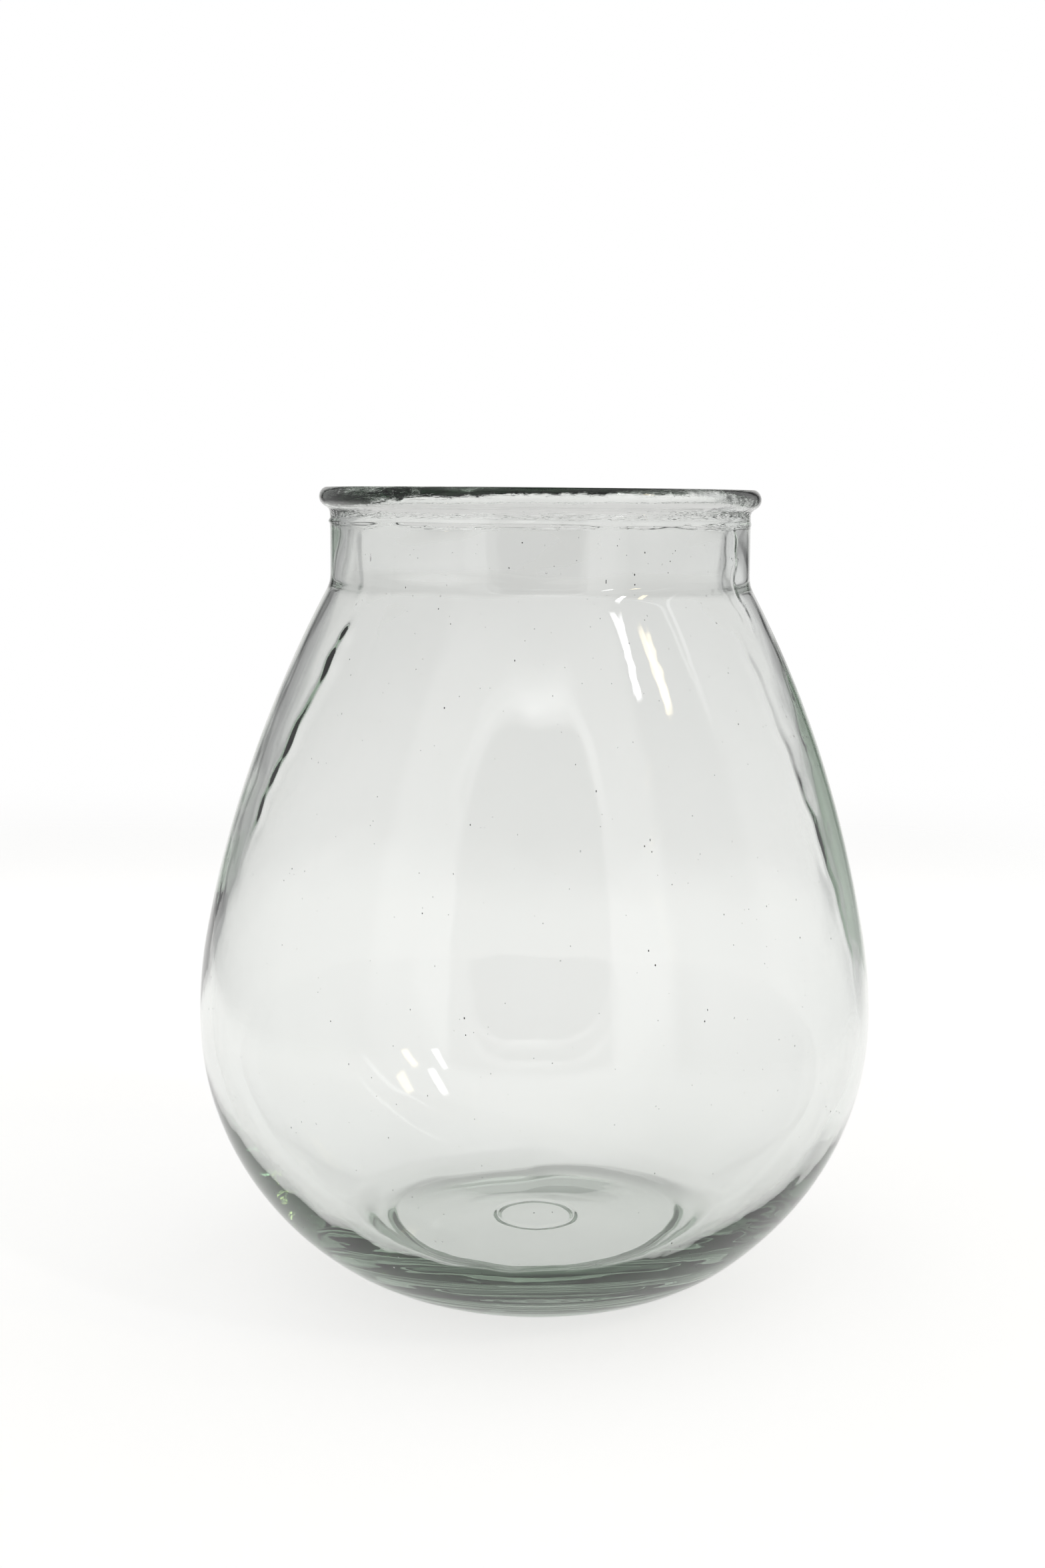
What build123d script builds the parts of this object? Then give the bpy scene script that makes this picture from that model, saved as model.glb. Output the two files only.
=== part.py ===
from build123d import *
from math import acos, asin, cos, degrees, pi, radians, sin, sqrt
import os

# A one-piece glass jar: pear shaped, with an open mouth, a rolled lip, a short straight
# neck and a thick base that is pushed up underneath. It is a body of revolution about +Z.
# The origin is on that axis, in the plane that the foot rests on. Sizes are millimetres.

# Overall
HEIGHT = 280.0
BELLY_RADIUS = 118.5
BELLY_Z = 95.0  # height of the widest point

# Curves of the side, away from the widest point
LOWER_DROP = 108.0  # vertical half axis of the ellipse below it
BELLY_ARC = 169.0  # radius of the arc that leaves it upward
BELLY_TURN = 10.25  # degrees that this arc turns
SHOULDER_ARC = 408.0  # radius of the arc from there to the neck

# Neck and lip
NECK_RADIUS = 72.8
NECK_WALL = 5.4
CREASE_ROUND = 4.0
INNER_CREASE_ROUND = 8.0
BEAD_RADIUS = 3.7  # section of the rolled bead round the lip
BEAD_UNDERCUT_ROUND = 3.0
LIP_FLARE = 8.0  # radius of the inside's flare, up to the ridge over the bead
LIP_RIDGE_TURN = 71.0  # degrees up the bead at which the flare meets it
LIP_RIDGE_ROUND = 1.5

# Cavity: the wall is even above the widest point, and thickens below it
SIDE_WALL = 4.6
INNER_LOWER_DROP = 97.0
FLOOR_Z = 16.0
FLOOR_CROWN = 1.0
FLOOR_ROUND = 15.0

# Foot: a low flat ring, with the heel's shallow curve outside it and a push-up inside it
HEEL_Z = 10.0  # where the heel's curve leaves the ellipse
HEEL_MIDDLE = (64.0, 4.6)  # a point that the heel's curve passes through
HEEL_ROUND = 5.0
FOOT_TOP = (56.5, 2.2)  # where the heel's curve meets the foot's side
FOOT_TOP_ROUND = 2.0
FOOT_RADIUS = 53.0
FOOT_ROUND = 1.0
FOOT_INNER_RADIUS = 48.0
PUSH_UP_RADIUS = 30.0
PUSH_UP_Z = 1.6
PUSH_UP_CROWN = 1.0
PUSH_UP_ROUND = 6.0

# Round mould lines that stand proud: one under the base, one round the neck
BASE_LINE_RADIUS = 15.0
BASE_LINE_SECTION = 0.9
NECK_LINE_Z = 268.2
NECK_LINE_SECTION = 0.45


def on_arc(centre, radius, turn):
    """The point of an arc at turn radians above the horizontal."""
    return (centre[0] + radius * cos(turn), centre[1] + radius * sin(turn))


def upper_side(inset, neck_radius):
    """Draws the belly and shoulder arcs, moved in by inset. Returns their height at the neck."""
    turn = radians(BELLY_TURN)
    belly_centre = (BELLY_RADIUS - BELLY_ARC, BELLY_Z)
    shoulder_centre = on_arc(belly_centre, BELLY_ARC - SHOULDER_ARC, turn)
    belly_arc = BELLY_ARC - inset
    shoulder_arc = SHOULDER_ARC - inset
    rise = sqrt(shoulder_arc**2 - (neck_radius - shoulder_centre[0]) ** 2)
    crease = (neck_radius, shoulder_centre[1] + rise)
    joint = on_arc(belly_centre, belly_arc, turn)
    middle = (turn + asin(rise / shoulder_arc)) / 2
    widest = (BELLY_RADIUS - inset, BELLY_Z)
    ThreePointArc(widest, on_arc(belly_centre, belly_arc, turn / 2), joint)
    ThreePointArc(joint, on_arc(shoulder_centre, shoulder_arc, middle), crease)
    return crease[1]


def lower_side(radius, drop, end_z):
    """Draws the ellipse from the widest point down to end_z. Returns its radius there."""
    share = (BELLY_Z - end_z) / drop
    EllipticalCenterArc((0, BELLY_Z), radius, drop, arc_size=-degrees(asin(share)))
    return radius * sqrt(1 - share**2)


def crowned(edge_radius, edge_z, crown):
    """Draws a shallow dome from its edge to the axis, where it is higher by crown."""
    arc = (edge_radius**2 + crown**2) / (2 * crown)
    top = edge_z + crown
    half_way = (edge_radius / 2, top - arc + sqrt(arc**2 - edge_radius**2 / 4))
    ThreePointArc((edge_radius, edge_z), half_way, (0, top))
    return top


def rounded(sketch, corner, radius):
    """Rounds the corner of the section that lies at that point."""
    nearest = sketch.vertices().sort_by_distance(corner)[0]
    fillet(nearest, radius)


def lip(inner_neck):
    """Draws the bead and the flare inside it. Returns where they leave the neck, and the ridge."""
    turn = radians(LIP_RIDGE_TURN)
    centre = (NECK_RADIUS, HEIGHT - BEAD_RADIUS * sin(turn))
    ridge = on_arc(centre, BEAD_RADIUS, turn)
    under_bead = (NECK_RADIUS, centre[1] - BEAD_RADIUS)
    ThreePointArc(ridge, (centre[0] + BEAD_RADIUS, centre[1]), under_bead)
    reach = inner_neck + LIP_FLARE - ridge[0]
    flare_z = HEIGHT - sqrt(LIP_FLARE**2 - reach**2)
    half_way = (pi + pi - acos(reach / LIP_FLARE)) / 2
    middle = on_arc((inner_neck + LIP_FLARE, flare_z), LIP_FLARE, half_way)
    ThreePointArc((inner_neck, flare_z), middle, ridge)
    return under_bead[1], flare_z, ridge


def foot():
    """Draws the heel's curve, the foot and the push-up. Returns the heel's radius and the top."""
    heel = lower_side(BELLY_RADIUS, LOWER_DROP, HEEL_Z)
    ThreePointArc((heel, HEEL_Z), HEEL_MIDDLE, FOOT_TOP)
    Line(FOOT_TOP, (FOOT_RADIUS, 0))
    Line((FOOT_RADIUS, 0), (FOOT_INNER_RADIUS, 0))
    Line((FOOT_INNER_RADIUS, 0), (PUSH_UP_RADIUS, PUSH_UP_Z))
    under = crowned(PUSH_UP_RADIUS, PUSH_UP_Z, PUSH_UP_CROWN)
    return heel, under


def half_section():
    """The section of the glass, on one side of the axis."""
    inner_neck = NECK_RADIUS - NECK_WALL
    with BuildSketch() as section:
        with BuildLine():
            # outside, from the lip down to the foot
            under_bead, flare_z, ridge = lip(inner_neck)
            crease = upper_side(0, NECK_RADIUS)
            Line((NECK_RADIUS, under_bead), (NECK_RADIUS, crease))
            heel, under = foot()
            # inside, from the floor up to the lip
            inner_radius = BELLY_RADIUS - SIDE_WALL
            floor_radius = lower_side(inner_radius, INNER_LOWER_DROP, FLOOR_Z)
            floor = crowned(floor_radius, FLOOR_Z, FLOOR_CROWN)
            Line((0, under), (0, floor))
            inner_crease = upper_side(SIDE_WALL, inner_neck)
            Line((inner_neck, inner_crease), (inner_neck, flare_z))
        make_face()
        rounded(section, ridge, LIP_RIDGE_ROUND)
        rounded(section, (NECK_RADIUS, under_bead), BEAD_UNDERCUT_ROUND)
        rounded(section, (NECK_RADIUS, crease), CREASE_ROUND)
        rounded(section, (inner_neck, inner_crease), INNER_CREASE_ROUND)
        rounded(section, (heel, HEEL_Z), HEEL_ROUND)
        rounded(section, FOOT_TOP, FOOT_TOP_ROUND)
        rounded(section, (FOOT_RADIUS, 0), FOOT_ROUND)
        rounded(section, (PUSH_UP_RADIUS, PUSH_UP_Z), PUSH_UP_ROUND)
        rounded(section, (floor_radius, FLOOR_Z), FLOOR_ROUND)
    return section.sketch


def mould_lines():
    """The round ridges that the mould leaves under the base and round the neck."""
    base_line = Pos(0, 0, PUSH_UP_Z + PUSH_UP_CROWN) * Torus(BASE_LINE_RADIUS, BASE_LINE_SECTION)
    neck_line = Pos(0, 0, NECK_LINE_Z) * Torus(NECK_RADIUS, NECK_LINE_SECTION)
    return base_line, neck_line


def glass_jar():
    """The whole jar, which is one piece of glass."""
    jar = revolve(Plane.XZ * half_section(), Axis.Z)
    for line in mould_lines():
        jar = jar + line
    return jar


os.makedirs("parts", exist_ok=True)
export_step(glass_jar(), "parts/glass_jar.step")
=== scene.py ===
"""A one-piece glass jar on a plain white studio floor. Sizes of the jar are millimetres."""
import math

import bpy
import numpy as np
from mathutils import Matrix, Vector


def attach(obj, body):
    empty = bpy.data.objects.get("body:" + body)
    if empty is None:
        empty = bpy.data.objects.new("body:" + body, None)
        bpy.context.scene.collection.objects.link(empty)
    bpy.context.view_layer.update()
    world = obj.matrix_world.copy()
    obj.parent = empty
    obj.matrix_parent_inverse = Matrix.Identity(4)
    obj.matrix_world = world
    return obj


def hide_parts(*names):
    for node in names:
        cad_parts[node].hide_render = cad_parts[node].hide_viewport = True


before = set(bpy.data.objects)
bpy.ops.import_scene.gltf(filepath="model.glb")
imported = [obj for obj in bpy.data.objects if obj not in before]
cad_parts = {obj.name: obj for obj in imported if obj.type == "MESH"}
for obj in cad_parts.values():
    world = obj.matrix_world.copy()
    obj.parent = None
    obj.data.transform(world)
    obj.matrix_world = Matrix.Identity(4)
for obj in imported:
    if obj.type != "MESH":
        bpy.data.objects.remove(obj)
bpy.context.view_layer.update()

MM = 0.001

# The plain body of revolution
HEIGHT = 280.0
BELLY_R, BELLY_Z = 118.5, 95.0
LOWER_DROP = 108.0
BELLY_ARC, BELLY_TURN, SHOULDER_ARC = 169.0, math.radians(10.25), 408.0
NECK_R, NECK_WALL = 72.8, 5.4
BEAD_R, FLARE, RIDGE_TURN = 3.7, 8.0, math.radians(71)
SIDE_WALL, INNER_DROP = 4.6, 97.0
FLOOR_Z, FLOOR_CROWN = 16.0, 1.0
FOOT_IN_R, PUSH_R, PUSH_Z, PUSH_CROWN = 48.0, 30.0, 1.6, 1.0
FOOT_R, FOOT_H, HEEL_Z = 54.0, 2.2, 10.0
HEEL_MIDDLE = (64.0, 4.4)
RING_R, RING_H = 15.0, 0.9  # the plain round mark under the base
NECK_LINE_Z = 268.2  # the low ridge under the bead

# What makes this one uneven
LEAN = 2.0  # how far the mouth stands to the right of the foot
TILT, TILT_X = math.tan(math.radians(0.5)), -55  # the lip's slope, and where it leaves the lip level
FOOT_SHIFT = 0.9
SEAM = math.radians(-41)
NICK, NICK_Z = -0.62 * 76, 275.6  # along the bead from the front, and its height
FIT = 0.9997  # keeps the uneven skin inside the plain body's width

TURNS = 600  # points round the jar
STEP = 0.2  # between points of the section, before it is thinned out
BUBBLES, GRAINS = 130, 420
rng = np.random.default_rng(11)


# --- the section -----------------------------------------------------------------------

def ellipse(cx, cz, rx, rz, a0, a1, n=400):
    """Points of an ellipse's arc, in millimetres."""
    a = np.linspace(a0, a1, n)
    return np.stack([cx + rx * np.cos(a), cz + rz * np.sin(a)], 1)


def line(a, b, n=120):
    """Points of a straight stretch."""
    t = np.linspace(0, 1, n)[:, None]
    return np.array(a) * (1 - t) + np.array(b) * t


def upper_side(inset, neck_r):
    """The belly and shoulder arcs, from the widest point up to the neck."""
    bc = np.array([BELLY_R - BELLY_ARC, BELLY_Z])
    away = np.array([math.cos(BELLY_TURN), math.sin(BELLY_TURN)])
    sc = bc + (BELLY_ARC - SHOULDER_ARC) * away
    rb, rs = BELLY_ARC - inset, SHOULDER_ARC - inset
    end = math.acos((neck_r - sc[0]) / rs)
    return np.concatenate([
        ellipse(*bc, rb, rb, 0, BELLY_TURN),
        ellipse(*sc, rs, rs, BELLY_TURN, end),
    ])


def lower_side(radius, drop, end_z):
    """The ellipse from end_z up to the widest point."""
    low = -math.asin((BELLY_Z - end_z) / drop)
    return ellipse(0, BELLY_Z, radius, drop, low, 0)


def resampled(points, step):
    """The same polyline with points at even steps."""
    gaps = np.linalg.norm(np.diff(points, axis=0), axis=1)
    keep = np.concatenate([[True], gaps > 1e-9])
    points = points[keep]
    s = np.concatenate([[0], np.cumsum(np.linalg.norm(np.diff(points, axis=0), axis=1))])
    t = np.linspace(0, s[-1], int(round(s[-1] / step)) + 1)
    return np.stack([np.interp(t, s, points[:, 0]), np.interp(t, s, points[:, 1])], 1)


def softened(points, step):
    """Rounds corners by a moving average over the widths that softness() gives."""
    n = len(points)
    widths = softness(points[:, 0], points[:, 1])
    sums = np.concatenate([np.zeros((1, 2)), np.cumsum(points, 0)])
    for _ in range(2):
        half = np.minimum(np.round(widths / step / 2).astype(int), np.arange(n))
        half = np.minimum(half, n - 1 - np.arange(n))
        i = np.arange(n)
        out = (sums[i + half + 1] - sums[i - half]) / (2 * half + 1)[:, None]
        sums = np.concatenate([np.zeros((1, 2)), np.cumsum(out, 0)])
    return out


def bump(x, centre, width):
    """One at the centre, and nothing well outside the width."""
    return np.exp(-(((x - centre) / width) ** 2))


def smooth(x, low, high):
    """Goes smoothly from 0 to 1 as x goes from low to high."""
    t = np.clip((x - low) / (high - low), 0, 1)
    return t * t * (3 - 2 * t)


def lip(inner_r):
    """The bead, and the flare inside it, which meet in a ridge over the bead."""
    ridge_r = NECK_R + BEAD_R * math.cos(RIDGE_TURN)
    bead_z = HEIGHT - BEAD_R * math.sin(RIDGE_TURN)
    turn = math.acos((inner_r + FLARE - ridge_r) / FLARE)
    flare_z = HEIGHT - FLARE * math.sin(turn)
    return np.concatenate([
        ellipse(NECK_R, bead_z, BEAD_R, BEAD_R, -math.pi / 2, RIDGE_TURN),
        ellipse(inner_r + FLARE, flare_z, FLARE, FLARE, math.pi - turn, math.pi),
    ])


def softness(r, z):
    """Over how many millimetres the section's corners are rounded at each place."""
    width = 1.2 + 0 * r
    width += 9.0 * bump(z, 6, 5) * bump(r, 67, 6) * (z < 14)  # the heel
    width += 4.0 * bump(z, 1.5, 2) * bump(r, 56, 3)  # the foot's side
    width += 3.0 * bump(z, 247, 5)  # the crease under the neck
    width += 9.0 * bump(z, FLOOR_Z, 3) * bump(r, 62, 9)  # the floor's edge
    width += 16.0 * (z < 6) * bump(r, (PUSH_R + FOOT_IN_R) / 2, 12) * (1 - smooth(r, 42, 53))
    width += 1.5 * bump(z, HEIGHT - 2 * BEAD_R, 2) * (r > 71)  # under the bead
    return width


def section():
    """The closed section from the underside's middle round the outside to the floor's middle."""
    inner_r = NECK_R - NECK_WALL
    dome = (PUSH_R**2 + PUSH_CROWN**2) / (2 * PUSH_CROWN)
    x = np.linspace(0, PUSH_R, 200)
    under = np.stack([x, PUSH_Z + PUSH_CROWN - dome + np.sqrt(dome**2 - x**2)], 1)
    outer = lower_side(BELLY_R, LOWER_DROP, HEEL_Z)
    inner = lower_side(BELLY_R - SIDE_WALL, INNER_DROP, FLOOR_Z)
    floor_r = inner[0, 0]
    x = np.linspace(floor_r, 0, 200)
    floor = np.stack([x, FLOOR_Z + FLOOR_CROWN * (1 - (x / floor_r) ** 2)], 1)
    path = np.concatenate([
        under,
        line((PUSH_R, PUSH_Z), (FOOT_IN_R, 0)),
        line((FOOT_IN_R, 0), (FOOT_R - 1, 0)),
        line((FOOT_R - 1, 0), (FOOT_R + 0.6, 1.2)),
        line((FOOT_R + 0.6, 1.2), (FOOT_R + 2.5, FOOT_H)),
        line((FOOT_R + 2.5, FOOT_H), HEEL_MIDDLE),
        line(HEEL_MIDDLE, outer[0]),
        outer,
        upper_side(0, NECK_R),
        lip(inner_r),
        upper_side(SIDE_WALL, inner_r)[::-1],
        inner[::-1],
        floor,
    ])
    return softened(resampled(path, STEP), STEP)


def spaced(points):
    """Keeps fewer points where the section is nearly straight."""
    d1 = np.gradient(points, axis=0)
    turn = np.unwrap(np.arctan2(d1[:, 1], d1[:, 0]))
    bend = np.abs(np.gradient(turn)) / STEP
    bend = np.convolve(bend, np.ones(9) / 9, "same")
    r, z = points[:, 0], points[:, 1]
    gap = 1 / (0.55 + 9.0 * bend)
    gap = np.minimum(gap, np.where((z > 255) & (r > 60), 0.5, 9))
    gap = np.minimum(gap, np.where((z < 6) & (r < 20), 0.35, 9))
    s = np.concatenate([[0], np.cumsum(STEP / gap[1:])])
    t = np.linspace(0, s[-1], int(s[-1]) + 1)
    keep = np.unique(np.round(np.interp(t, s, np.arange(len(points)))).astype(int))
    return points[keep]


# --- the glass -------------------------------------------------------------------------

# Folds inside the shoulders: azimuth at the top and at the bottom, their heights, depth, roughness
SHOULDER_FOLDS = [
    (-0.93, -1.13, 150, 238, 0.62, 0.6),
    (0.98, 1.22, 80, 236, 0.16, 0.2),
]


def waves(count, turns, heights, z, phi):
    """Smooth random relief of about unit size, the same all the way round."""
    out = np.zeros((len(z), len(phi)))
    for _ in range(count):
        m = rng.integers(turns[0], turns[1] + 1)
        k = 2 * math.pi / rng.uniform(*heights)
        a, b, _ = rng.uniform(0, 2 * math.pi, 3)
        out += np.cos(m * phi[None] + a) * np.cos(k * z[:, None] + b)
    return out / math.sqrt(count / 4)


def around(phi, centre):
    """Azimuth from a centre, between minus pi and pi."""
    return (phi - centre + math.pi) % (2 * math.pi) - math.pi


def blown_relief(z, upright, out, phi):
    """The blown inside wanders, and the moulded outside hardly does."""
    zz = z[:, None]
    body = smooth(zz, 8, 40) * (1 - smooth(zz, 240, 262))
    wander = waves(9, (1, 4), (120, 300), z, phi) * 0.22
    wander = wander + waves(14, (3, 8), (90, 180), z, phi) * 0.05
    wander = wander + waves(18, (10, 34), (16, 60), z, phi) * 0.010
    skin = waves(16, (2, 8), (60, 160), z, phi) * 0.035
    skin = skin + waves(16, (6, 22), (18, 60), z, phi) * 0.012
    neck = smooth(zz, 240, 252) * (1 - smooth(zz, 262, 270))
    d = body * upright * ((1 - out) * wander + out * skin)
    return d + (1 - out) * neck * upright * waves(10, (2, 9), (60, 160), z, phi) * 0.16


def mould_relief(r, z, upright, out, phi):
    """The mould's seams down both sides, its broken ridge under the bead, and its ripples."""
    d = 0
    for seam in (SEAM, SEAM + math.pi):
        d = d + out * upright * bump(around(phi, seam) * r, 0, 0.7) * 0.05 * smooth(z, 60, 110)
    ridge = NECK_LINE_Z + 0.25 * np.cos(2 * phi + 1) + 0.1 * np.cos(9 * phi)
    tall = 0.32 + 0.12 * np.cos(5 * phi + 1) + 0.10 * np.cos(13 * phi) + 0.08 * np.cos(23 * phi + 2)
    d = d + out * (r > 60) * bump(z, ridge, 0.6) * tall
    # ripples that break up the lamps' reflections at the right of the front
    spot = bump(phi, 0.42, 0.13) * smooth(z, 196, 208) * (1 - smooth(z, 232, 240))
    return d + out * 0.022 * np.sin(z * 1.5 + 2.2 * np.sin(z / 3.1) + 9 * phi) * spot


def lip_relief(r, z, out, phi):
    """The flare is deeper at the left of the front than at the right, and the bead has a nick."""
    deeper = 1.0 * bump(phi, 0.9, 0.8) - 0.7 * bump(phi, -0.9, 0.7)
    deeper = deeper + 0.10 * np.cos(7 * phi) + 0.08 * np.cos(12 * phi + 2)
    d = -(1 - out) * deeper * bump(z, 275.8, 2.2)
    return d - out * 0.7 * bump(phi * r, NICK, 0.9) * bump(z, NICK_Z, 0.9) * (r > 70)


def fold_relief(r, z, out, phi):
    """Upright folds at both sides of the neck, and long broken ones inside the shoulders."""
    fold = 1.09 + 0.012 * np.sin(z / 3.1) + 0.008 * np.sin(z / 1.3)
    along = smooth(z, 232, 240) * (1 - smooth(z, 262, 270))
    d = -out * 0.3 * bump((phi - fold) * 73, 0, 0.8) * along
    fold = -0.97 + 0.01 * np.sin(z / 4.7)
    along = smooth(z, 236, 246) * (1 - smooth(z, 262, 268))
    d = d - (1 - out) * 0.14 * bump((phi - fold) * 68, 0, 2.6) * along
    for start, end, low, high, deep, rough in SHOULDER_FOLDS:
        fold = start + (end - start) * smooth(-z, -high, -low)
        fold = fold + 0.006 * np.sin(z / 3.7) + 0.004 * np.sin(z / 1.9)
        along = smooth(z, low, high - 20) * (1 - smooth(z, high - 10, high))
        ripple = 1 - rough * (0.5 - 0.5 * np.sin(z / 2.6 + np.sin(z / 7.3) * 2))
        d = d - (1 - out) * deep * along * ripple * bump((phi - fold) * r, 0, 1.6 + 1.6 * along)
    return d


def base_relief(r, z, out, phi):
    """A shallow valley round the floor, with a step at the back, and the mark under the base."""
    back = (phi + 2 * math.pi) % (2 * math.pi) - math.pi
    valley = 56 + 4 * np.tanh(-back / 0.12) * np.cos(back / 2) ** 2
    deep = 0.3 + 1.9 * np.clip(np.cos(back) + 0.2, 0, 1)
    d = -(1 - out) * deep * bump(r, valley, 5.5) * bump(z, FLOOR_Z, 5)
    return d + out * (z < 8) * bump(r, RING_R, 1.1) * RING_H


def relief(r, z, nr, outside, phi):
    """How far each point stands out from the plain section, along its normal, in millimetres."""
    out = outside[:, None].astype(float)
    upright = smooth(np.abs(nr), 0.2, 0.6)[:, None]
    d = blown_relief(z, upright, out, phi)
    r, z, phi = r[:, None], z[:, None], phi[None]
    d = d + mould_relief(r, z, upright, out, phi) + lip_relief(r, z, out, phi)
    return d + fold_relief(r, z, out, phi) + base_relief(r, z, out, phi)


def shell(verts, faces, start, place, depth, radii, turns=8, rings=5):
    """Adds an ellipsoid at a depth under the outside. Its faces look outward."""
    phi, r, z, nr, nz = place
    r, z = r - nr * depth, z - nz * depth
    out = Vector((math.sin(phi), -math.cos(phi), 0))
    side = Vector((math.cos(phi), math.sin(phi), 0))
    up = float(smooth(z, 100, 262))
    centre = out * r + Vector((LEAN * up, 0, z - r * math.sin(phi) * TILT * up))
    base = start + len(verts)
    for a in range(1, rings + 1):
        tall = math.cos(math.pi * a / (rings + 1)) * radii[2]
        wide = math.sin(math.pi * a / (rings + 1))
        for b in range(turns):
            t = 2 * math.pi * b / turns
            spot = centre + side * (wide * math.cos(t) * radii[0]) + out * (wide * math.sin(t) * radii[1])
            verts.append((spot.x * MM, spot.y * MM, (spot.z + tall) * MM))
    for sign in (1, -1):
        verts.append((centre.x * MM, centre.y * MM, (centre.z + sign * radii[2]) * MM))
    for a in range(rings - 1):
        row, below = base + a * turns, base + (a + 1) * turns
        for b in range(turns):
            c = (b + 1) % turns
            faces.append((row + b, row + c, below + c, below + b))
    top, low, last = base + rings * turns, base + rings * turns + 1, base + (rings - 1) * turns
    for b in range(turns):
        c = (b + 1) % turns
        faces.append((top, base + c, base + b))
        faces.append((low, last + b, last + c))


def wall_rows(profile):
    """The rows of the section that lie on the outside of the wall."""
    _, z, _, _, outside = profile
    return np.flatnonzero(outside & (z > 12) & (z < 262))


def scattered(profile, count, depths):
    """Random places in the wall: azimuth, section point and normal, and depth under the outside."""
    r, z, nr, nz, _ = profile
    rows = wall_rows(profile)
    for _ in range(count):
        i = rng.choice(rows)
        yield (rng.uniform(-math.pi, math.pi), r[i], z[i], nr[i], nz[i]), rng.uniform(*depths)


def bubble_shells(profile, start):
    """Air bubbles shut inside the wall, and one long one in the neck.

    Their faces look outward. That is a fault: the faces of air in glass should look inward.
    """
    r, z, nr, nz, _ = profile
    verts, faces = [], []
    for place, depth in scattered(profile, BUBBLES, (1.3, 3.2)):
        size = 0.14 + 0.22 * rng.random() ** 3
        shell(verts, faces, start, place, depth, (size, size, size * rng.uniform(1, 1.7)))
    rows = wall_rows(profile)
    i = rows[np.argmin(np.abs(z[rows] - 256))]
    shell(verts, faces, start, (-0.885, r[i], z[i], nr[i], nz[i]), 2.0, (0.45, 0.3, 1.3))
    return verts, faces


def grit_mesh(profile):
    """Grains of dark grit shut inside the wall.

    Their faces are turned, so they look inward. That is a fault too: they should look outward.
    """
    verts, faces = [], []
    for place, depth in scattered(profile, GRAINS, (1.0, 3.4)):
        size = 0.10 + 0.16 * rng.random() ** 4
        shell(verts, faces, 0, place, depth, (size, size, size * rng.uniform(1, 2.2)), 6, 3)
    mesh = bpy.data.meshes.new("glass_jar_grit")
    mesh.from_pydata(verts, [], [face[::-1] for face in faces])
    mesh.update()
    return mesh


def skin_faces(rows):
    """Quads between neighbouring rows of points, and a fan of triangles at each end."""
    i = np.arange(rows - 1)[:, None]
    j = np.arange(TURNS)[None]
    k = (j + 1) % TURNS
    quads = np.stack([i * TURNS + j, i * TURNS + k, (i + 1) * TURNS + k, (i + 1) * TURNS + j], 2)
    j, k = j[0], k[0]
    low = np.stack([np.full(TURNS, rows * TURNS), k, j], 1)
    last = (rows - 1) * TURNS
    high = np.stack([np.full(TURNS, rows * TURNS + 1), last + j, last + k], 1)
    return quads.reshape(-1, 4).tolist() + low.tolist() + high.tolist()


def jar_meshes():
    """The glass with its bubbles, and the grit in it."""
    points = spaced(section())
    r, z = points[:, 0], points[:, 1]
    tangent = np.gradient(points, axis=0)
    tangent /= np.linalg.norm(tangent, axis=1)[:, None]
    nr, nz = tangent[:, 1], -tangent[:, 0]
    outside = np.arange(len(r)) <= np.argmax(z)
    phi = np.linspace(-math.pi, math.pi, TURNS, endpoint=False)
    d = relief(r, z, nr, outside, phi)
    R = r[:, None] + nr[:, None] * d
    Z = z[:, None] + nz[:, None] * d
    X = R * np.sin(phi)[None]
    Y = -R * np.cos(phi)[None]
    # the mouth leans and tilts a little over the belly, and the foot sits a little aside
    up = smooth(z, 100, 262)[:, None]
    X, Z = X + LEAN * up, Z - (X - TILT_X) * TILT * up
    X += FOOT_SHIFT * (1 - smooth(z, 2, 26))[:, None]
    Z = np.minimum(Z, HEIGHT - 0.1)
    skin = np.stack([X * FIT, Y * FIT, Z], 2)[1:-1]
    ends = np.array([[0, 0, Z[0].mean()], [0, 0, Z[-1].mean()]])
    verts = np.concatenate([skin.reshape(-1, 3), ends]) * MM
    profile = (r, z, nr, nz, outside)
    bubbles, bubble_faces = bubble_shells(profile, len(verts))
    mesh = bpy.data.meshes.new("glass_jar_blown")
    mesh.from_pydata(verts.tolist() + bubbles, [], skin_faces(len(skin)) + bubble_faces)
    mesh.shade_smooth()
    mesh.update()
    return mesh, grit_mesh(profile)


def add_object(name, mesh):
    """Puts a mesh into the scene."""
    obj = bpy.data.objects.new(name, mesh)
    bpy.context.scene.collection.objects.link(obj)
    return obj


def grey(level, tint=(1, 1, 1)):
    """A colour of that level, with its alpha."""
    return (level * tint[0], level * tint[1], level * tint[2], 1)


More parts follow.
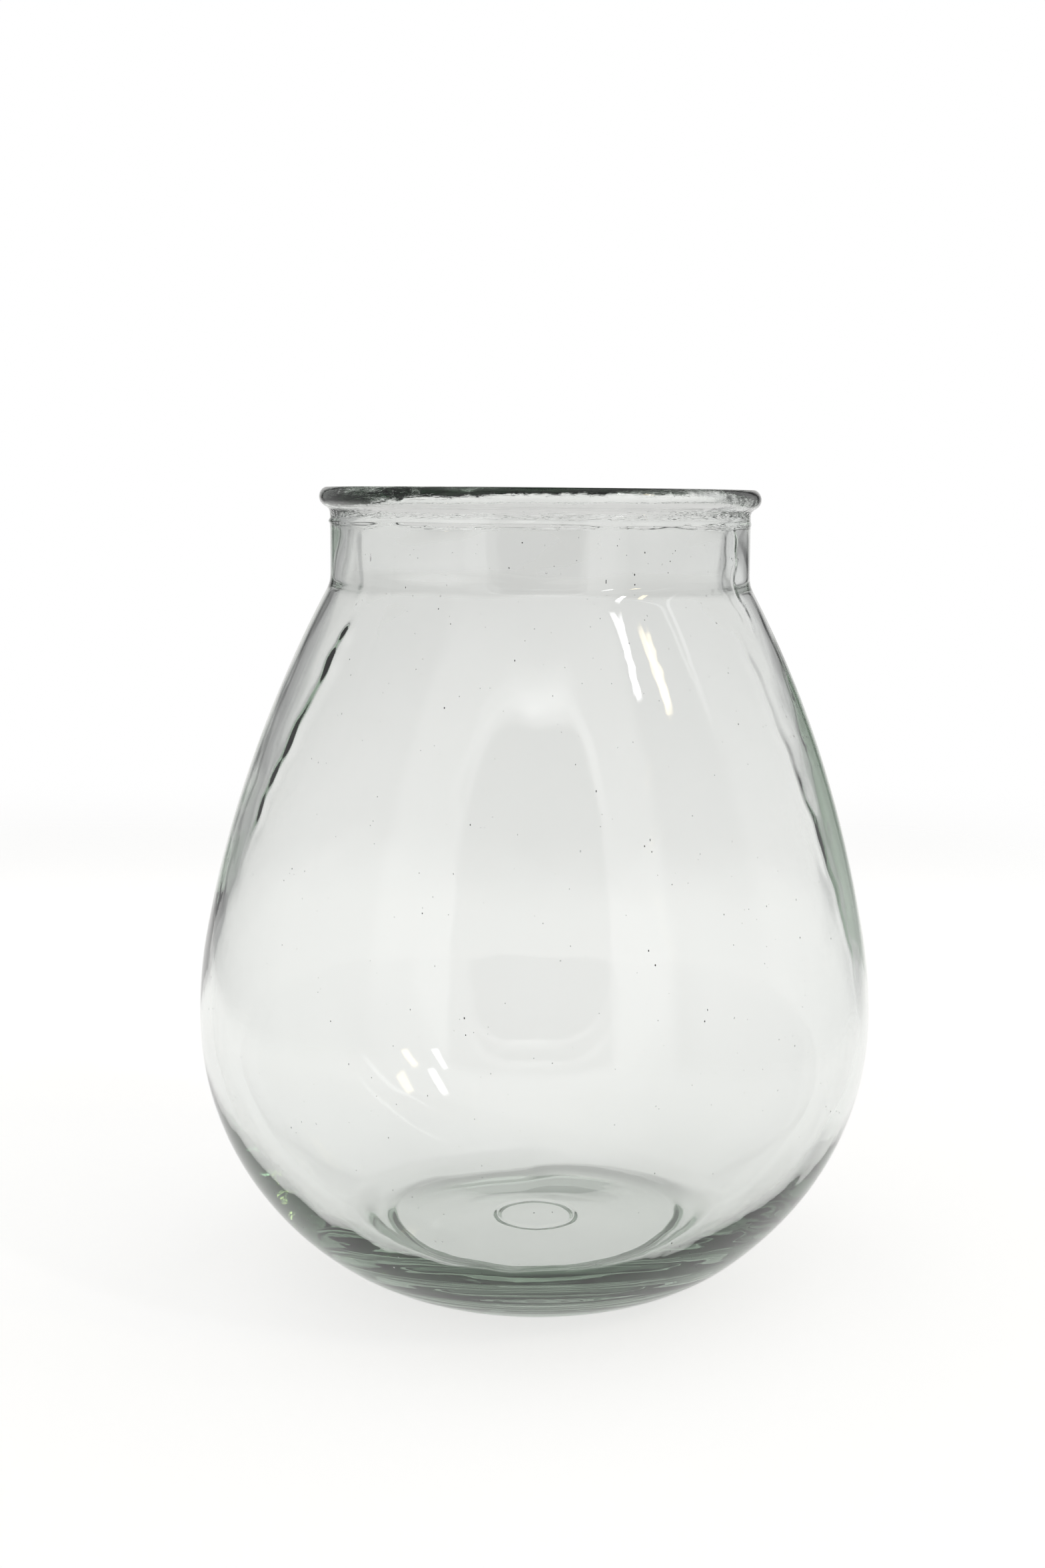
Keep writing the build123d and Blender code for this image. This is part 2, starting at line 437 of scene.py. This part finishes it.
class Nodes:
    """Short calls for building a tree of math nodes."""

    def __init__(self, tree):
        self.tree = tree

    def new(self, kind, **settings):
        """Adds a node and sets its properties."""
        node = self.tree.nodes.new(kind)
        for key, value in settings.items():
            setattr(node, key, value)
        return node

    def put(self, socket, value):
        """Links an output to the socket, or sets a plain value on it."""
        if isinstance(value, bpy.types.NodeSocket):
            self.tree.links.new(value, socket)
        else:
            socket.default_value = value

    def math(self, operation, *values):
        """The output of a math node."""
        node = self.new("ShaderNodeMath", operation=operation)
        for socket, value in zip(node.inputs, values):
            self.put(socket, value)
        return node.outputs[0]

    def rise(self, value, low, high, start=0.0, end=1.0):
        """Goes smoothly from start to end as value goes from low to high."""
        node = self.new("ShaderNodeMapRange", interpolation_type="SMOOTHSTEP")
        self.put(node.inputs["Value"], value)
        self.put(node.inputs["From Min"], low)
        self.put(node.inputs["From Max"], high)
        self.put(node.inputs["To Min"], start)
        self.put(node.inputs["To Max"], end)
        return node.outputs[0]

    def band(self, value, low, high, soft):
        """One between low and high, with soft ends."""
        up = self.rise(value, low - soft, low + soft)
        down = self.rise(value, high - soft, high + soft, 1.0, 0.0)
        return self.math("MULTIPLY", up, down)

    def noise(self, place, scale, detail=2.0, **settings):
        """The height of a noise texture."""
        node = self.new("ShaderNodeTexNoise", **settings)
        self.put(node.inputs["Vector"], place)
        self.put(node.inputs["Scale"], scale)
        self.put(node.inputs["Detail"], detail)
        return node.outputs[0]

    def mix(self, share, a, b):
        """Colour a, and b in its place as share goes to one."""
        node = self.new("ShaderNodeMix", data_type="RGBA")
        self.put(node.inputs[0], share)
        self.put(node.inputs[6], a)
        self.put(node.inputs[7], b)
        return node.outputs[2]


def glass_skin(n):
    """Height of the glass's fine skin, in metres."""
    place = n.new("ShaderNodeTexCoord").outputs["Object"]
    split = n.new("ShaderNodeSeparateXYZ")
    n.put(split.inputs[0], place)
    z = split.outputs[2]
    drawn = n.new("ShaderNodeMapping")
    n.put(drawn.inputs["Vector"], place)
    n.put(drawn.inputs["Scale"], (210.0, 210.0, 1500.0))
    # wrinkles of the cold mould in two patchy bands under the bead, drawn out sideways
    wrinkle = n.noise(drawn.outputs[0], 1.0, 5.0, noise_type="RIDGED_MULTIFRACTAL")
    patchy = n.noise(place, 45.0)
    upper = n.math("MULTIPLY", n.band(z, 0.2695, 0.2722, 0.0008), n.rise(patchy, 0.38, 0.6))
    lower = n.math("MULTIPLY", n.band(z, 0.2662, 0.2672, 0.0006), n.rise(patchy, 0.5, 0.62))
    where = n.math("ADD", upper, lower)
    chill = n.math("MULTIPLY", wrinkle, n.math("MULTIPLY", where, 0.0005))
    # the mottled bead, and the faint orange peel of hand-finished glass everywhere
    mottle = n.noise(drawn.outputs[0], 0.7, 3.0)
    bead = n.math("MULTIPLY", mottle, n.rise(z, 0.2730, 0.2750, 0.0, 0.00014))
    peel = n.math("MULTIPLY", n.noise(place, 60.0), 0.00003)
    return n.math("ADD", chill, n.math("ADD", bead, peel))


def glass_material():
    """Clear glass that takes its faint green from its thickness."""
    mat = bpy.data.materials.new("recycled_glass")
    mat.use_nodes = True
    n = Nodes(mat.node_tree)
    bsdf = mat.node_tree.nodes["Principled BSDF"]
    bsdf.inputs["Base Color"].default_value = (1, 1, 1, 1)
    bsdf.inputs["Roughness"].default_value = 0.0
    bsdf.inputs["IOR"].default_value = 1.52
    bsdf.inputs["Transmission Weight"].default_value = 1.0
    uneven = n.new("ShaderNodeBump")
    n.put(uneven.inputs["Strength"], 1.0)
    n.put(uneven.inputs["Distance"], 1.0)
    n.put(uneven.inputs["Height"], glass_skin(n))
    n.put(bsdf.inputs["Normal"], uneven.outputs[0])
    tint = n.new("ShaderNodeVolumeAbsorption")
    tint.inputs["Color"].default_value = (0.447, 0.56, 0.46, 1)
    tint.inputs["Density"].default_value = 15.0
    n.put(mat.node_tree.nodes["Material Output"].inputs["Volume"], tint.outputs[0])
    return mat


def grit_material():
    """Dark grains, from grey to brown."""
    mat = bpy.data.materials.new("grit")
    mat.use_nodes = True
    n = Nodes(mat.node_tree)
    bsdf = mat.node_tree.nodes["Principled BSDF"]
    shade = n.noise(n.new("ShaderNodeTexCoord").outputs["Object"], 90.0)
    n.put(bsdf.inputs["Base Color"], n.mix(shade, grey(0.02), grey(0.09, (1, 0.85, 0.65))))
    bsdf.inputs["Roughness"].default_value = 0.8
    return mat


glass, grains = jar_meshes()
jar = add_object("glass_jar_blown", glass)
jar.data.materials.append(glass_material())
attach(jar, "root")
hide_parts("glass_jar")
grit = add_object("glass_jar_grit", grains)
grit.data.materials.append(grit_material())
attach(grit, "root")


# --- the studio ------------------------------------------------------------------------

WHITE = (1, 1, 1)
WARM = (1.0, 0.995, 0.98)
YELLOW = (1, 0.83, 0.5)
ROOM, GAP = 0.42, 0.27  # the room's level, and that of the dark gap between the front panels

# Panels and lamps as seen from the jar: azimuth from the front to the right, elevation, how soft
# the edges are, all in degrees, then the brightness and its tint
PANELS = [
    ((-400, 400), (60, 95), (1, 14), 0.8, WHITE),
    ((84, 146), (-25, 50), (5, 10), 0.75, WHITE),
    ((-142, -62), (-25, 45), (8, 12), 0.5, WHITE),
    ((-57, 47), (-40, 49), (3, 7), 0.85, WHITE),
    ((49.5, 52.5), (37, 46), (0.6, 1), 26.0, WHITE),
    ((82.5, 84.5), (30, 60), (0.7, 7), 2.6, WHITE),
]
LAMPS = [
    ((-14, 18), (39.5, 43.5), (6, 1.5), 1.6, WHITE),
    ((-6, 14), (38.6, 41.0), (5, 0.9), 2.3, WHITE),
    ((62.5, 66), (33, 41), (0.8, 1.0), 12.0, YELLOW),
]


def with_panels(n, light, panels, azimuth, elevation):
    """The light with those panels laid over it."""
    for sides, heights, (soft_side, soft_height), level, tint in panels:
        across = n.band(azimuth, *sides, soft_side)
        upward = n.band(elevation, *heights, soft_height)
        light = n.mix(n.math("MULTIPLY", across, upward), light, grey(level, tint))
    return light


def with_front_gap(n, light, azimuth, elevation):
    """The light with the dark gap between the front panels, round at the top, and its bright edge."""
    rising = n.math("DIVIDE", n.math("SUBTRACT", elevation, 14.0), 25.0)
    rising = n.math("POWER", n.math("MAXIMUM", rising, 0.0), 3.5)
    aside = n.math("ABSOLUTE", n.math("DIVIDE", n.math("ADD", azimuth, 1.5), 27.0))
    reach = n.math("POWER", n.math("ADD", rising, n.math("POWER", aside, 3.5)), 1 / 3.5)
    edge = n.math("MULTIPLY", n.band(reach, 1.03, 1.13, 0.02), n.rise(elevation, 22, 36))
    light = n.mix(edge, light, grey(1.5))
    return n.mix(n.rise(reach, 0.97, 1.03, 1.0, 0.0), light, grey(GAP))


def studio_world():
    """A white backdrop behind the jar, and panels, lamps and a dim room in front of it."""
    world = bpy.data.worlds.new("studio")
    bpy.context.scene.world = world
    world.use_nodes = True
    world.node_tree.nodes.clear()
    n = Nodes(world.node_tree)
    split = n.new("ShaderNodeSeparateXYZ")
    n.put(split.inputs[0], n.new("ShaderNodeTexCoord").outputs["Generated"])
    x, y, z = split.outputs
    azimuth = n.math("MULTIPLY", n.math("ARCTAN2", x, n.math("MULTIPLY", y, -1.0)), 180 / math.pi)
    elevation = n.math("MULTIPLY", n.math("ARCSINE", z), 180 / math.pi)
    off_back = n.math("SUBTRACT", 180.0, n.math("ABSOLUTE", azimuth))
    light = with_panels(n, grey(ROOM), PANELS, azimuth, elevation)
    # towards the table the sides of the room are lighter, so that its edge doesn't show
    low = n.math("MULTIPLY", n.rise(elevation, -14, 22, 1.0, 0.0), n.rise(off_back, 60, 100))
    low = n.math("MULTIPLY", low, n.rise(off_back, 118, 135, 1.0, 0.0))
    light = n.mix(low, light, grey(0.7))
    light = with_front_gap(n, light, azimuth, elevation)
    light = with_panels(n, light, LAMPS, azimuth, elevation)
    # the backdrop, and a dark edge at both sides of it
    backdrop = n.mix(n.rise(elevation, -11.0, 7.0), grey(0.90, WARM), grey(0.68, WARM))
    backdrop = n.mix(n.rise(elevation, 20.0, 38.0), backdrop, grey(0.3))
    flag = n.math("MULTIPLY", n.band(off_back, 22.5, 27, 1.5), n.band(elevation, -6, 34, 6))
    light = n.mix(flag, light, grey(0.07))
    light = n.mix(n.rise(off_back, 16.5, 20.0, 1.0, 0.0), light, backdrop)
    seen = n.new("ShaderNodeLightPath").outputs["Is Camera Ray"]
    shown = n.new("ShaderNodeBackground")
    n.put(shown.inputs["Color"], n.mix(seen, light, grey(1.0)))
    n.put(n.new("ShaderNodeOutputWorld").inputs[0], shown.outputs[0])


def painted_table_light(n, x, y, seen):
    """Painted light on the table: a glow that is dimmer with distance, as the light falls off behind the
    table, and a painted shadow under the heel.
    """
    near = n.math("DIVIDE", 0.275, n.math("ADD", y, 0.8))
    painted_glow = n.math("ADD", n.rise(near, 0.0, 0.155, 0.36, 0.47), n.rise(near, 0.145, 0.19, 0.0, 0.11))
    away = n.math("SQRT", n.math("ADD", n.math("MULTIPLY", x, x), n.math("MULTIPLY", y, y)))
    away = n.math("SUBTRACT", away, n.rise(x, -0.012, 0.012, 0.0, 0.008))
    # painted shadow: the glow is dimmed in a band under the back of the heel
    shade = n.math("MULTIPLY", n.band(away, 0.044, 0.060, 0.007), n.rise(y, 0.0, 0.04, 0.0, 0.55))
    painted_glow = n.math("MULTIPLY", painted_glow, n.math("SUBTRACT", 1.0, shade))
    # a little more painted glow where the camera looks at the table directly
    return n.math("ADD", painted_glow, n.math("MULTIPLY", seen, 0.06))


def table_share(n, x, y, seen):
    """One on the table. It fades at the sides and the front, and far behind where it is looked at."""
    right = n.math("DIVIDE", x, n.math("MAXIMUM", 0.37, n.math("MULTIPLY", y, 0.3)))
    left = n.math("DIVIDE", x, n.math("MINIMUM", -0.55, n.math("MULTIPLY", y, -0.3)))
    across = n.rise(n.math("MAXIMUM", right, left), 0.75, 1.45, 1.0, 0.0)
    far = n.math("MULTIPLY", seen, n.rise(y, 0.55, 1.35))
    along = n.math("MULTIPLY", n.rise(y, -0.84, -0.60), n.math("SUBTRACT", 1.0, far))
    return n.math("MULTIPLY", across, along)


def studio_floor():
    """A white table top that runs on into the backdrop, lit by a painted glow in its emission."""
    mesh = bpy.data.meshes.new("studio_floor")
    corners = [(-9, -2, 0), (9, -2, 0), (9, 28, 0), (-9, 28, 0)]
    mesh.from_pydata(corners, [], [(0, 1, 2, 3)])
    obj = add_object("studio_floor", mesh)
    obj.location.z = -0.0002
    mat = bpy.data.materials.new("studio_floor")
    mat.use_nodes = True
    n = Nodes(mat.node_tree)
    bsdf = mat.node_tree.nodes["Principled BSDF"]
    bsdf.inputs["Base Color"].default_value = grey(0.6)
    bsdf.inputs["Roughness"].default_value = 0.7
    bsdf.inputs["Specular IOR Level"].default_value = 0.2
    bsdf.inputs["Emission Color"].default_value = grey(1.0, WARM)
    split = n.new("ShaderNodeSeparateXYZ")
    n.put(split.inputs[0], n.new("ShaderNodeTexCoord").outputs["Object"])
    x, y, _ = split.outputs
    seen = n.new("ShaderNodeLightPath").outputs["Is Camera Ray"]
    # the table's emission is painted light that falls off with distance, with a painted shadow under the
    # heel
    n.put(bsdf.inputs["Emission Strength"], painted_table_light(n, x, y, seen))
    join = n.new("ShaderNodeMixShader")
    n.put(join.inputs[0], table_share(n, x, y, seen))
    n.put(join.inputs[1], n.new("ShaderNodeBsdfTransparent").outputs[0])
    n.put(join.inputs[2], bsdf.outputs[0])
    n.put(mat.node_tree.nodes["Material Output"].inputs[0], join.outputs[0])
    mesh.materials.append(mat)


def camera():
    """A long lens a little above the mouth, looking slightly down."""
    data = bpy.data.cameras.new("camera")
    data.lens = 48.0
    data.sensor_width = 36.0
    cam = bpy.data.objects.new("camera", data)
    bpy.context.scene.collection.objects.link(cam)
    cam.location = (0, -0.7326, 0.2753)
    cam.rotation_euler = (math.radians(90 - 7.725), 0, math.radians(0.324))
    bpy.context.scene.camera = cam


studio_floor()
studio_world()
camera()
scene = bpy.context.scene
scene.view_settings.view_transform = "Standard"
scene.cycles.use_denoising = True
scene.cycles.max_bounces = 64
scene.cycles.transmission_bounces = 64
scene.cycles.glossy_bounces = 32
scene.cycles.transparent_max_bounces = 8
